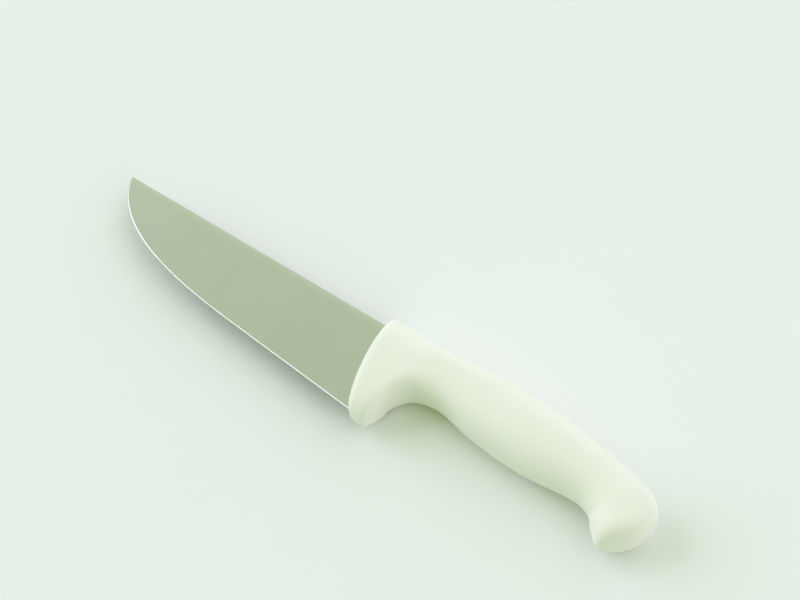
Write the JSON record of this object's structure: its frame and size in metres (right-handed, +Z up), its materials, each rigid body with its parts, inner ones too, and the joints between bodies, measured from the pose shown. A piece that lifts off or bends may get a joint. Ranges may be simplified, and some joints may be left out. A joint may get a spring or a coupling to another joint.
{
  "type": "butcher knife",
  "caption": "Butcher knife: a broad taper-ground steel blade with a straight spine and a deep curved belly, in a white moulded handle with guard, forefinger groove and hooked butt.",
  "frame": {"origin": "under the middle of the bounding box, where the knife lies on its side", "axes": "+X from the tip to the butt, +Y from the edge to the spine, +Z up, out of the blade's side"},
  "size_m": [0.2926, 0.0496, 0.0231],
  "materials": {
    "ground_steel": "satin-ground stainless steel with fine grinding lines and a bright honed bevel along the edge",
    "white_polypropylene": "satin white polypropylene, moulded in one piece"
  },
  "bodies": {
    "root": {"blade": "ground_steel", "handle": "white_polypropylene"}
  },
  "joints": []
}
